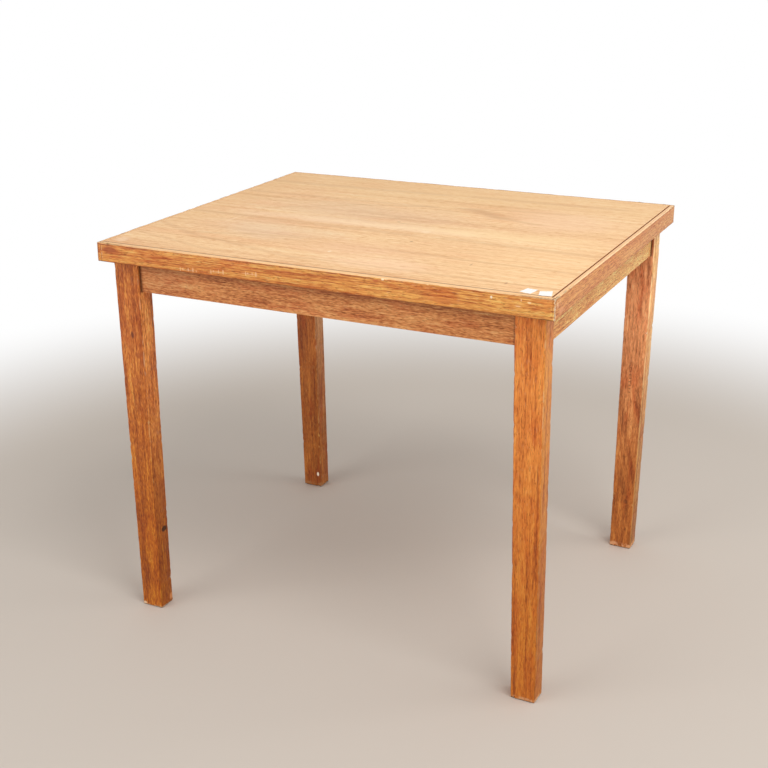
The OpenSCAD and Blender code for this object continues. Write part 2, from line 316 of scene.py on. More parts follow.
def wood(m, lines):
    look = m.look
    along, across, depth = lines["along"], lines["across"], lines["depth"]
    seed = look["seed"]

    # knots push the grain aside
    for at, size in look.get("knots", []):
        near = reachFrom((along, across, depth), at, size).rise("knotSpan")
        across = across - near * (across - at[1]) * look["knotPush"]

    # growth rings around the tree's heart
    swayAcross = look["swayAcross"]
    sway = m.noise((along * look["swayAlong"] + seed, across * swayAcross, depth * swayAcross)) - 0.5
    heart = look["heart"]
    ring = (
        ((across - heart[0]) ** 2 + (depth - heart[1]) ** 2).root()
        + sway * look["swaySize"]
        + along * look["lean"]
    )
    bent = across + sway * look["swaySize"]

    def grain(key, detail, roughness):
        # a noise stretched along the grain
        alongScale, acrossScale = look[key]
        shift = seed + 1.7 * len(key)
        spot = (along * alongScale + shift, bent * acrossScale, depth * acrossScale + shift)
        return m.noise(spot, detail, roughness)

    layers = {
        "ring": m.noise((ring / look["ringSize"], along * look["ringAlong"] + seed, seed * 3), 3, 0.6),
        "streak": grain("streak", 3, 0.6),
        "patch": grain("patch", 3, 0.55),
        "speck": grain("speck", 1, 0.5),
    }
    tone = 0.5
    for layer, share in zip(layers.values(), look["shares"]):
        tone = (layer - 0.5) * share + tone
    shade = m.ramp(tone.rise("toneSpan", curve="LINEAR"), tinted(look["stops"], look["tint"]))
    reds = grain("blotch", 3, 0.6).rise("redSpan")
    shade = m.blend(reds * look["redShare"], shade, look["red"], "MULTIPLY")
    alongScale, acrossScale = look["fibreScale"]
    fibre = m.noise((along * alongScale, bent * acrossScale + seed, depth * acrossScale), 2, 0.6)
    shade = m.blend(fibre.rise("fibreSpan") * look["fibre"], shade, look["deep"], "MULTIPLY")
    pores = grain("pore", 1, 0.5).rise("poreSpan")
    shade = m.blend(pores * look["pores"], shade, look["dark"], "MULTIPLY")
    flecks = grain("fleck", 1, 0.5).rise("fleckSpan")
    shade = m.paint(shade, flecks, look["wornShade"], look["flecks"])

    shade = marked(m, lines, shade, look.get("marks", []), layers["streak"])

    # rubbed arrises
    alongScale, acrossScale = look["rubScale"]
    rub = m.noise((along * alongScale + seed, across * acrossScale, depth * acrossScale + seed), 3, 0.65)
    worn = (lines["edge"] / look["wornWidth"]).rise(1.0, 0.4) * rub.rise("wornSpan")
    shade = m.paint(shade, worn, look["wornShade"], look["wornShare"])
    if "chip" in look:
        # bare wood where the worn copies lose more than a little
        lost = m.add("Attribute", {"attribute_name": "lost"}, {}, "Fac")
        chipped = (lost + (rub - 0.5) * look["chipRagged"]).rise("chipSpan")
        chipped = chipped * lines["edge"].rise("chipReach")
        shade = m.paint(shade, chipped, "chip")

    rough = look["rough"]
    for part, share in zip((fibre, pores, worn), look["roughBy"]):
        rough = part * share + rough
    height = 0.0
    for part, share in zip((fibre, layers["streak"], pores), look["heightBy"]):
        height = part * share + height
    return shade, rough, height


def deselectAll():
    if bpy.context.object and bpy.context.object.mode != "OBJECT":
        bpy.ops.object.mode_set(mode="OBJECT")
    bpy.ops.object.select_all(action="DESELECT")


def cut(piece, points, normal, within=None):
    # slices the piece, or only its faces for which within holds, by one plane at each point
    bpy.context.tool_settings.mesh_select_mode = (False, False, True)
    for point in points:
        if within:
            bpy.ops.object.mode_set(mode="OBJECT")
            for part in (piece.data.vertices, piece.data.edges):
                part.foreach_set("select", [False] * len(part))
            for face in piece.data.polygons:
                face.select = within(face.center)
            bpy.ops.object.mode_set(mode="EDIT")
        else:
            bpy.ops.mesh.select_all(action="SELECT")
        bpy.ops.mesh.bisect(plane_co=point, plane_no=normal)


def startWorn(name):
    # a merged copy of a node, ready to be cut finer
    deselectAll()
    piece = bpy.data.objects.new("worn_" + name, nodes[name].data.copy())
    bpy.context.scene.collection.objects.link(piece)
    bpy.context.view_layer.objects.active = piece
    piece.select_set(True)
    bpy.ops.object.mode_set(mode="EDIT")
    bpy.ops.mesh.select_all(action="SELECT")
    bpy.ops.mesh.remove_doubles(threshold=0.00001)
    bpy.ops.mesh.dissolve_limited(angle_limit=math.radians(0.5))
    return piece


def finishWorn(piece, name, closeness, layers):
    # wears the piece inwards by cloudy noise, where closeness is more than 0
    bpy.ops.mesh.select_all(action="SELECT")
    bpy.ops.mesh.quads_convert_to_tris(quad_method="BEAUTY", ngon_method="BEAUTY")
    bpy.ops.object.mode_set(mode="OBJECT")
    group = piece.vertex_groups.new(name="worn")
    for vertex in piece.data.vertices:
        weight = closeness(vertex.co)
        if weight > 0:
            group.add([vertex.index], min(weight, 1.0), "REPLACE")
    before = [vertex.co.copy() for vertex in piece.data.vertices]
    for label, size, depth, contrast, level in layers:
        clouds = bpy.data.textures.new(label + "_" + name, "CLOUDS")
        clouds.noise_scale = size
        clouds.noise_depth = 2
        clouds.contrast = contrast
        clouds.intensity = level
        clouds.use_clamp = True
        wear = piece.modifiers.new(label, "DISPLACE")
        wear.texture = clouds
        wear.texture_coords = "LOCAL"
        wear.vertex_group = "worn"
        wear.mid_level = 0
        wear.strength = -depth
        bpy.ops.object.modifier_apply(modifier=wear.name)
    for vertex in piece.data.vertices:
        # nothing may stand proud of the table's own box
        vertex.co = [max(cadBox[0][i], min(cadBox[1][i], vertex.co[i])) for i in range(3)]
    lost = piece.data.attributes.new("lost", "FLOAT", "POINT")
    lost.data.foreach_set("value", [(v.co - old).length for v, old in zip(piece.data.vertices, before)])
    bpy.ops.object.shade_smooth_by_angle(angle=math.radians(32))
    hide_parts(name)
    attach(piece, "root")


topLook = dict(
    woodLook,
    seed=2.3, heart=(0.9, 0.25), swayAlong=1.1, swaySize=0.02,
    lean=0.01, ringSize=0.014, ringAlong=1.3, streak=(5, 150),
    patch=(2.4, 14), speck=(60, 260), blotch=(4, 14), pore=(60, 420),
    fleck=(50, 300),
    shares=(0.3, 0.45, 0.3, 0.25),
    stops=[
        (0.0, colour(224, 170, 112)), (0.35, colour(241, 196, 141)),
        (0.7, colour(249, 208, 154)), (1.0, colour(253, 217, 168)),
    ],
    red=colour(246, 226, 214), redShare=0.5, deep=colour(226, 190, 150),
    dark=colour(206, 158, 112), pores=0.35, flecks=0.15,
    wornWidth=0.0012, wornSpan=(0.45, 0.6),
    wornShade=colour(250, 222, 184), wornShare=0.4, rough=0.42,
    bump=(0.00008, 0.35),
    # noises that fray the streaks and spots and push the clouds about
    fray=(6, 130), drift=(9, 16), cloudRagged=(1.3, 0.4),
    cloudSpan=(1.35, 0.15), streakShade=colour(208, 156, 104),
    streakSway=0.012, streakEnds=9, streakFray=1.3, spotFray=0.5,
    spotSpan=(1.0, 0.3),
    # dirt on the edge beside the open groove, and along the close joints
    dirt=(colour(166, 92, 26), 0.9),
    dirtWidth=(0.0006, 0.0001), dirtDrop=(0.00004, 0.0001),
    dirtReach=(-0.001, -0.0005),
    joint=(colour(150, 88, 40), 0.6),
    jointWidth=(0.0024, 0.0006),
)
topClouds = [
    # middle of a broad patch, how far it reaches along and across, its colour and how strong it is
    ((0.0, 0.28), (0.55, 0.16), (230, 186, 124), 0.45),
    ((-0.40, 0.10), (0.07, 0.30), (232, 184, 122), 0.40),
    ((-0.10, 0.045), (0.24, 0.075), (226, 190, 152), 0.42),
    ((0.265, 0.125), (0.12, 0.09), (246, 200, 160), 0.44),
    ((-0.10, -0.036), (0.30, 0.026), (255, 222, 182), 0.50),
    ((0.27, -0.025), (0.20, 0.035), (255, 222, 166), 0.45),
    ((-0.20, -0.145), (0.14, 0.065), (230, 196, 162), 0.42),
    ((0.02, -0.205), (0.13, 0.055), (240, 188, 146), 0.42),
    ((0.10, -0.27), (0.10, 0.045), (255, 214, 178), 0.34),
    ((0.33, -0.17), (0.16, 0.10), (250, 204, 146), 0.30),
]
topStreaks = [
    # start and end of a dark streak, how wide it is and how strong
    ((-0.395, 0.242), (-0.03, 0.250), 0.014, 0.34),
    ((0.06, 0.256), (0.33, 0.262), 0.014, 0.34),
    ((-0.405, 0.134), (0.0, 0.142), 0.012, 0.34),
    ((-0.01, 0.142), (-0.13, 0.105), 0.008, 0.40),
    ((-0.13, 0.105), (-0.29, 0.012), 0.008, 0.26),
    ((0.09, 0.150), (0.15, 0.112), 0.016, 0.62),
    ((0.15, 0.112), (0.235, 0.085), 0.008, 0.40),
    ((0.10, 0.165), (0.26, 0.180), 0.007, 0.30),
    ((-0.11, 0.060), (0.03, 0.018), 0.012, 0.24),
    ((-0.415, -0.062), (0.05, -0.078), 0.013, 0.36),
    ((0.13, -0.074), (0.41, -0.092), 0.011, 0.34),
    ((0.09, -0.190), (0.41, -0.200), 0.006, 0.34),
    ((-0.06, -0.290), (0.40, -0.296), 0.006, 0.32),
    ((-0.415, -0.165), (-0.31, -0.224), 0.008, 0.32),
    ((-0.31, -0.224), (-0.19, -0.256), 0.009, 0.34),
    ((-0.19, -0.256), (-0.05, -0.296), 0.008, 0.26),
    ((-0.31, -0.214), (-0.21, -0.186), 0.007, 0.32),
    ((-0.21, -0.186), (-0.12, -0.176), 0.006, 0.36),
    ((-0.40, -0.250), (-0.20, -0.310), 0.006, 0.30),
]
topSpots = [
    # small dents and stains
    ((0.082, -0.119), (0.004, 0.005), (170, 115, 70), 0.7),
    ((0.236, -0.217), (0.002, 0.009), (176, 124, 80), 0.6),
    ((0.327, -0.295), (0.003, 0.008), (178, 122, 78), 0.7),
    ((-0.002, 0.004), (0.006, 0.003), (160, 120, 84), 0.6),
    ((-0.018, 0.032), (0.010, 0.002), (176, 132, 92), 0.5),
    ((0.012, -0.004), (0.014, 0.0018), (176, 132, 92), 0.5),
    ((-0.016, -0.236), (0.004, 0.007), (255, 228, 196), 0.8),
    ((0.076, -0.045), (0.012, 0.012), (255, 226, 188), 0.45),
    ((-0.30, -0.10), (0.004, 0.05), (255, 224, 186), 0.25),
    ((-0.395, -0.31), (0.02, 0.02), (255, 226, 190), 0.4),
]


def veneerMaterial(look):
    m = Maker("honeyVeneer", look)
    low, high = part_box("top_veneer")
    lines = boardLines(m, "top_veneer", "x")
    x, y, z = lines["x"], lines["y"], lines["z"]
    lines.update({"across": y, "depth": z - high.z})
    shade, rough, height = wood(m, lines)

    # clouds in the finish, and darker streaks frayed along the grain
    fray = m.noise((x * look["fray"][0], y * look["fray"][1], 4.0), 3, 0.6) - 0.5
    drift = m.noise((x * look["drift"][0], y * look["drift"][1], 7.0)) - 0.5
    byDrift, byFray = look["cloudRagged"]
    for at, size, tone, share in topClouds:
        reach = reachFrom((x, y), at, size) + drift * byDrift + fray * byFray
        shade = m.paint(shade, reach.rise("cloudSpan"), colour(*tone), share)
    wave = y + drift * look["streakSway"]
    for (startX, startY), (endX, endY), width, share in topStreaks:
        runX, runY = endX - startX, endY - startY
        awayX, awayY = x - startX, wave - startY
        along = ((awayX * runX + awayY * runY) / (runX ** 2 + runY ** 2)).least(1).most(0)
        reach = ((awayX - along * runX) ** 2 / look["streakEnds"] + (awayY - along * runY) ** 2).root() / width
        cover = (reach + fray * look["streakFray"]).rise(look["streakFray"], 0.0)
        shade = m.paint(shade, cover, look["streakShade"], share)
    for at, size, tone, share in topSpots:
        reach = reachFrom((x, y), at, size) + fray * look["spotFray"]
        shade = m.paint(shade, reach.rise("spotSpan"), colour(*tone), share)

    wall = (high.z - z).rise("dirtDrop") * (x - high.x).rise("dirtReach")
    shade = m.paint(shade, (high.x - x).rise("dirtWidth").most(wall), "dirt")
    shade = m.paint(shade, (y - low.y).rise("jointWidth"), "joint")
    return m.finish(shade, rough, height)


dress("top_veneer", veneerMaterial(topLook))
print("top veneer")

rimLook = dict(
    woodLook,
    heart=(0.055, -0.05), swayAlong=3.5, lean=0.012, ringSize=0.0036,
    ringAlong=1.8, streak=(6, 540), patch=(5, 70), speck=(60, 500),
    shares=(0.26, 0.48, 0.24, 0.26),
    stops=[
        (0.0, colour(160, 80, 36)), (0.3, colour(196, 112, 52)),
        (0.55, colour(220, 144, 72)), (0.8, colour(232, 162, 84)),
        (1.0, colour(242, 182, 108)),
    ],
    red=colour(232, 176, 150), redShare=0.6, pores=0.4,
    wornWidth=0.0026, wornSpan=(0.42, 0.62),
    wornShade=colour(246, 200, 148), wornShare=0.75, rough=0.42,
    tint=(1.22, 1.33, 1.29),
    # the lip's upper face, painted pale as painted light from above, its grain, and a line along its joint with the
    # top
    lip=colour(244, 196, 140), lipWidth=0.009, lipSpan=(0.0016, 0.0003),
    lipScale=(14, 500), lipShares=(0.7, 0.25),
    joint=(colour(140, 80, 38), 0.0),
    jointSpan=(0.0022, 0.0006),
    # the outer arris: a pale line, partly rubbed wear and partly painted highlight
    raggedScale=(70, 200), arris=colour(255, 220, 170),
    arrisSpan=(0.0016, 0.0007), arrisShare=0.9, arrisRagged=0.001,
    arrisDrop=(0.004, 0.002), arrisGaps=(0.2, 0.45),
    # the darker line below it, partly stain and partly painted shade, fainter where stainFade says, and painted
    # shade along the lower edge
    stainAndShade=colour(140, 66, 38), stainLevel=0.0034, stainShare=0.8,
    stainRagged=0.0016, stainSpan=(0.0013, 0.0005),
    stainOut=(0.003, 0.0018), stainGaps=(0.64, 0.46), stainFade=(9.0, 8.0),
    stainFaint=0.3, lowerSpan=(0.0024, 0.0008), lowerShare=0.55,
    # the groove's wall, and the seam of the mitre
    groove=(colour(150, 104, 66), 0.85),
    grooveSpan=(-0.0006, -0.0001),
    mitre=(colour(110, 58, 30), 0.6),
    mitreSpan=(0.0007, 0.0002), chip=(colour(252, 214, 168), 0.8),
    chipSpan=(0.0008, 0.0013),
    corners=[
        # which corner, its colour and how strong it is
        (1, -1, colour(255, 230, 196), 0.95),
        (-1, -1, colour(136, 76, 46), 0.7),
        (1, 1, colour(150, 92, 58), 0.5),
        (-1, 1, colour(140, 84, 52), 0.5),
    ],
    cornerFrom=((0.40, 0.41), (0.32, 0.33)),
    cornerSpan=(0.0028, 0.0015), cornerRagged=0.006, flakeScale=(230, 60),
    # a fine line beside each corner: where, how wide, how low it goes and how strong
    beside=(0.0044, (0.0009, 0.0003), (0.03, 0.02), 0.5),
    seams=[],
)
nickRows = [
    # start, end, level and number of pale nicks in a row on the front
    (-0.250, -0.213, 0.7000, 5),
    (-0.187, -0.161, 0.7035, 4),
    (-0.117, -0.096, 0.7075, 4),
]


def frontMarks(front):
    marks = [
        mark((-0.397, front, 0.719), (0.022, 0.02, 0.007), (158, 66, 34), 0.7),
        mark((-0.20, front, 0.712), (0.06, 0.02, 0.002), (150, 72, 36), 0.5, streaky=True),
        mark((0.04, front, 0.722), (0.05, 0.02, 0.003), (158, 76, 40), 0.5, streaky=True),
        mark((-0.055, front, 0.721), (0.075, 0.02, 0.008), (178, 86, 42), 0.55, streaky=True),
        mark((0.24, front, 0.706), (0.05, 0.02, 0.005), (226, 138, 70), 0.5),
        mark((0.323, front, 0.721), (0.0022, 0.01, 0.003), (252, 222, 186), 0.9),
        mark((0.384, front, 0.7195), (0.0038, 0.01, 0.0017), (255, 210, 154), 0.85),
        mark((0.371, front, 0.722), (0.0012, 0.01, 0.0028), (255, 206, 156), 0.7),
        mark((0.1265, front, 0.7236), (0.008, 0.01, 0.0028), (190, 84, 46), 0.55, ragged=1.4),
        mark((0.366, front, 0.712), (0.006, 0.01, 0.0012), (248, 206, 164), 0.6),
        mark((0.139, front, 0.727), (0.0034, 0.01, 0.0022), (255, 222, 178), 0.85),
    ]
    for start, end, level, count in nickRows:
        # uneven gaps, sizes and levels, and a faint line through each row
        for i in range(count):
            spot = start + (end - start) * (i + 0.3 * math.sin(9 * i + 1)) / (count - 1)
            size = (0.0014 + 0.0006 * (i % 2), 0.01, 0.0052 - 0.0014 * (2 * i % 3))
            at = (spot, front, level + 0.0013 * math.sin(7 * i))
            marks.append(mark(at, size, (255, 208, 154), 0.85, ragged=1.2))
        marks.append(mark(((start + end) / 2, front, level), (0.02, 0.01, 0.001), (250, 204, 156), 0.5, ragged=1.2))
    return marks


def rimMaterial(name, grain, look):
    m = Maker(name.replace("rim_", "rimWood_"), look)
    high = cadBox[1]
    lines = boardLines(m, name, grain)
    fromTop, outX, outY = [high[i] - lines[key].size() for i, key in ((2, "z"), (0, "x"), (1, "y"))]
    lines["edge"] = middle(fromTop, outX, outY)
    shade, rough, height = wood(m, lines)
    along, out = lines["along"], outY if grain == "x" else outX
    shade = paintedLightAlong(m, shade, along)

    def patchy(first, second, key, shift):
        return m.noise((first * look[key][0], second * look[key][1], shift), 3, 0.6)

    # the lip's upper face is painted in the top's pale honey colour as painted light from above, up to the outer
    # arris
    upper = fromTop.rise("lipSpan")
    plain, grained = look["lipShares"]
    lipGrain = patchy(along, out, "lipScale", look["seed"])
    shade = m.blend(upper * (plain + lipGrain.rise(0.3, 0.7) * grained), shade, look["lip"])
    shade = m.paint(shade, upper * (look["lipWidth"] - out).rise("jointSpan"), "joint")
    # the outer arris: a pale line, partly rubbed wear and partly painted highlight, with painted shade in its place
    # on the back and left rims; a darker line below it, partly stain and partly painted shade; and painted shade
    # along the lower edge
    ragged = patchy(along, fromTop, "raggedScale", look["seed"])
    arris = (fromTop - out + (ragged - 0.5) * look["arrisRagged"]).size().rise("arrisSpan")
    arris = arris * fromTop.rise("arrisDrop") * ragged.rise("arrisGaps")
    shade = m.paint(shade, arris, look["arris"], look["arrisShare"])
    below = (fromTop - look["stainLevel"] + (ragged - 0.5) * look["stainRagged"]).size().rise("stainSpan")
    below = below * out.rise("stainOut") * ragged.rise("stainGaps")
    faint = look["stainFaint"]
    below = below * (along.rise("stainFade") * (1 - faint) + faint)
    shade = m.paint(shade, below, look["stainAndShade"], look["stainShare"])
    lower = (lines["z"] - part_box(name)[0].z).rise("lowerSpan")
    shade = m.paint(shade, lower, look["stainAndShade"], look["lowerShare"])
    # upright corners: chipped pale or soiled dark, with a fine line beside
    flake = patchy(fromTop, along, "flakeScale", 2.0)
    corner = outX.most(outY) + (flake - 0.5) * look["cornerRagged"]
    away, width, drop, besideShare = look["beside"]
    for sideX, sideY, tone, share in look["corners"]:
        here = (lines["x"] * sideX).rise(*look["cornerFrom"][0]) * (lines["y"] * sideY).rise(*look["cornerFrom"][1])
        shade = m.paint(shade, here * corner.rise("cornerSpan"), tone, share)
        beside = (corner - away).size().rise(*width) * fromTop.rise(*drop)
        shade = m.paint(shade, here * beside, look["stainAndShade"], besideShare)
    # seams of a mended corner
    noises = {"ragged": ragged, "flake": flake}
    for place, width, key, gaps, tone, share in look["seams"]:
        seam = (lines["x"] - place).size().rise(*width) * noises[key].rise(*gaps)
        shade = m.paint(shade, seam, tone, share)
    shade = m.paint(shade, (outX - outY).size().rise("mitreSpan"), "mitre")
    # dirt in the groove, on the lip's inner wall and on the rebate
    shade = m.paint(shade, (out - look["lipWidth"]).rise("grooveSpan"), "groove")
    return m.finish(shade, rough, height)


rimWear = dict(
    # distance between the cuts along the rim, how far the wear reaches, and the cuts across it
    step=0.006, reach=0.0055, cutsAt=(0.7, 1.0),
    layers=[
        # name, size of the clouds, greatest depth, contrast and level
        ("rubbing", 0.030, 0.0012, 1.6, 1.0),
        ("chips", 0.007, 0.0014, 5.0, 0.15),
    ],
    corner=1.6, under=0.45,
)


def wornRim(name, grain):
    piece = startWorn(name)
    low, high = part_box(name)[0].z, cadBox[1]
    axis = 0 if grain == "x" else 1
    ways = [Vector((1, 0, 0)), Vector((0, 1, 0))]
    alongAxis, outAxis, up = ways[axis], ways[1 - axis], Vector((0, 0, 1))
    count = int(2 * high[axis] / rimWear["step"])
    cut(piece, [alongAxis * (high[axis] * (2 * (i + 0.5) / count - 1)) for i in range(count)], alongAxis)
    side = 1 if (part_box(name)[0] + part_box(name)[1])[1 - axis] > 0 else -1
    reach = rimWear["reach"]
    reaches = [reach * share for share in rimWear["cutsAt"]]
    cut(piece, [outAxis * side * (high[1 - axis] - inner) for inner in reaches], outAxis)
    cut(piece, [up * (high.z - inner) for inner in reaches], up)
    cut(piece, [up * (low + inner) for inner in reaches], up)

    def closeness(spot):
        fromTop, outX, outY = high.z - spot.z, high.x - abs(spot.x), high.y - abs(spot.y)
        out = outY if axis == 0 else outX
        upper = 1 - max(fromTop, out) / reach
        under = (1 - max(spot.z - low, out) / reach) * rimWear["under"]
        corner = (1 - max(outX, outY) / reach) * rimWear["corner"]
        return max(upper, under, corner)

    finishWorn(piece, name, closeness, rimWear["layers"])


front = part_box("rim_front")[0].y
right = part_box("rim_right")[1].x
# the back and left rims: painted shade on the outer arris in place of the pale line, and a fainter line below it
shadedArris = {"arris": colour(116, 74, 48), "arrisShare": 0.85, "stainShare": 0.3}
rims = {
    "rim_front": ("x", dict(
        seed=5.7, lip=colour(250, 204, 148),
        joint=(colour(140, 80, 38), 0.65),
        arrisShare=0.5,
        lightGains=(-0.05, 0.14, (0.90, 0.85, 0.83), (1.05, 1.20, 1.30)),
        stainFade=(0.22, 0.08),
        seams=[
            # where a mended corner's seam is, its width, the noise and the span of its gaps, colour and strength
            (-0.4155, (0.0010, 0.0003), "ragged", (0.35, 0.5), colour(120, 60, 36), 0.7),
            (-0.4140, (0.0009, 0.0003), "flake", (0.5, 0.6), colour(246, 200, 156), 0.7),
        ],
        marks=frontMarks(front),
    )),
    "rim_right": ("y", dict(
        # its tint and its gains along it are paler and bluer: painted sheen on the face to the right
        seed=8.9, tint=(1.03, 1.27, 1.68),
        lightGains=(-0.05, 0.25, (1.01, 0.96, 0.91), (0.99, 1.02, 1.12)),
        shares=(0.15, 0.3, 0.15, 0.25),
        redShare=0.35, lip=colour(244, 198, 146), lipWidth=0.007,
        stainShare=0.35, groove=(colour(166, 92, 26), 0.95),
        marks=[
            mark((right, -0.337, 0.719), (0.01, 0.0014, 0.007), (252, 214, 180), 0.8),
            mark((right, -0.331, 0.717), (0.01, 0.0014, 0.006), (250, 206, 168), 0.7),
            mark((right, -0.325, 0.722), (0.01, 0.0016, 0.004), (250, 206, 168), 0.6),
            mark((right, -0.318, 0.716), (0.01, 0.0018, 0.0014), (110, 58, 36), 0.8),
            mark((right, -0.320, 0.706), (0.01, 0.018, 0.006), (238, 172, 124), 0.5),
            mark((right, -0.30, 0.724), (0.01, 0.02, 0.002), (168, 96, 56), 0.6, streaky=True),
        ],
    )),
    "rim_back": ("x", {"seed": 12.4, **shadedArris, "arrisSpan": (0.0070, 0.0040)}),
    "rim_left": ("y", {"seed": 17.2, **shadedArris, "arrisSpan": (0.0048, 0.0024)}),
}
for name, (grain, own) in rims.items():
    dress(name, rimMaterial(name, grain, {**rimLook, **own}))
    wornRim(name, grain)
print("rim")

apronLook = dict(
    woodLook,
    heart=(0.03, 0.16), swayAlong=2.5, lean=0.006, ringSize=0.0034,
    streak=(14, 520), patch=(7, 40), speck=(120, 520),
    shares=(0.12, 0.42, 0.3, 0.34),
    stops=[
        (0.0, colour(136, 70, 34)), (0.3, colour(178, 104, 56)),
        (0.6, colour(204, 132, 78)), (1.0, colour(226, 160, 104)),
    ],
    red=colour(232, 182, 164), redShare=0.5, fibre=0.55, pores=0.4,
    wornWidth=0.0018, wornSpan=(0.5, 0.7), wornShade=colour(222, 166, 120),
    wornShare=0.5, rough=0.5, tint=(1.37, 1.56, 1.55),
    # painted shadow below the rim, narrow and wide, and painted shade beside the legs
    underRimShade=[((0.008, 0.002), 0.62), ((0.026, 0.004), 0.28)],
    endSpan=(-0.006, -0.0005), legGapShadeShare=0.6, dirt=colour(84, 46, 30),
)


def apronMaterial(name, grain, look):
    m = Maker(name.replace("apron_", "apronWood_"), look)
    lines = boardLines(m, name, grain)
    shade, rough, height = wood(m, lines)
    shade = paintedLightAlong(m, shade, lines["along"])
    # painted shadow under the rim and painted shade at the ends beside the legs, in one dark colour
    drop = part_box("rim_front")[0].z - lines["z"]
    narrow, wide = [drop.rise(*span) * share for span, share in look["underRimShade"]]
    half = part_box(name)[1][0 if grain == "x" else 1]
    legGapShade = (lines["along"].size() - half).rise("endSpan") * look["legGapShadeShare"]
    shade = m.blend((narrow + wide).most(legGapShade), shade, look["dirt"])
    return m.finish(shade, rough, height)


aprons = {
    "apron_front": ("x", {"seed": 21.0, "lightGains": (-0.30, -0.22, (0.88, 0.80, 0.80), (1.02, 1.02, 1.02))}),
    # a paler, bluer tint: painted sheen on the face to the right
    "apron_right": ("y", {"seed": 24.5, "tint": (1.84, 2.6, 2.75)}),
    "apron_back": ("x", {"seed": 28.3}),
    "apron_left": ("y", {"seed": 31.9}),
}
for name, (grain, own) in aprons.items():
    dress(name, apronMaterial(name, grain, {**apronLook, **own}))
print("aprons")

legLook = dict(
    woodLook,
    swayAlong=4.0, lean=0.006, ringSize=0.0048, streak=(13, 300),
    patch=(9, 55),
    shares=(0.45, 0.35, 0.45, 0.25),
    stops=[
        (0.0, colour(134, 66, 30)), (0.3, colour(166, 90, 40)),
        (0.55, colour(192, 114, 54)), (0.8, colour(212, 138, 68)),
        (1.0, colour(230, 164, 90)),
    ],
    red=colour(226, 168, 140), redShare=0.6, pores=0.35,
    wornWidth=0.0024, wornSpan=(0.5, 0.66),
    wornShade=colour(228, 172, 118), wornShare=0.6, rough=0.46,
    bump=(0.00014, 0.4),
    # the darker lower part, partly soil and partly painted shade, where the painted light's gains change, and what
    # counts as the side that faces right
    soilAndShade=(colour(214, 180, 126), 0.5),
    soilSpan=(0.62, 0.0), fadeSpan=(0.08, 0.62),
    rightSpans=((0.002, 0.0006), (0.0, 0.005)),
    # dark arrises to the left, and painted shade below the rim and beside the aprons
    raggedScale=(90, 40),
    outline=(colour(96, 48, 26), 0.6),
    outlineSpan=(0.0018, 0.0008), outlineLeft=(0.0, -0.008),
    outlineGaps=(0.3, 0.5),
    headDirt=(colour(90, 48, 28), 0.7),
    headSpan=(0.004, 0.001),
    grime=(colour(74, 40, 26), 0.8),
    grimeLevel=(-0.003, 0.001), grimeInner=(0.36, 0.40),
    grimeOut=(0.0055, 0.0005), grimeIn=(-0.024, -0.02),
    # the foot: soiled arrises, bare wood and a painted contact shadow at the floor
    flakeScale=(110, 90),
    footDirt=(colour(92, 46, 24), 0.6),
    footEdge=(0.0018, 0.0006), footRise=(0.055, 0.02),
    footGaps=(0.35, 0.55), footShade=colour(228, 176, 128), footShare=0.7,
    footRagged=0.012, footFlakes=(0.62, 0.48), footRough=0.2,
    sole=(colour(70, 40, 26), 0.8),
    contactShadeRagged=0.004, soleSpan=(0.0024, 0.0010),
    chip=(colour(236, 186, 132), 0.75), chipSpan=(0.0008, 0.0014),
)


def apronGapShade(name, lines):
    # painted shade in the corners where the two aprons butt against the leg's inner faces
    low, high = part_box(name)
    centre = (low + high) / 2
    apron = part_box("apron_front")
    inX = (lines["x"] * (-1 if centre.x > 0 else 1) + abs(centre.x)) / (high.x - low.x)
    inY = (lines["y"] * (-1 if centre.y > 0 else 1) + abs(centre.y)) / (high.y - low.y)
    besideX = lines["y"].size() - abs(apron[0].y)
    besideY = lines["x"].size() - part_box("apron_right")[1].x
    faceX, faceY = [
        inner.rise("grimeInner") * beside.rise("grimeOut") * beside.rise("grimeIn")
        for inner, beside in ((inX, besideX), (inY, besideY))
    ]
    return (lines["z"] - apron[0].z).rise("grimeLevel") * faceX.most(faceY)


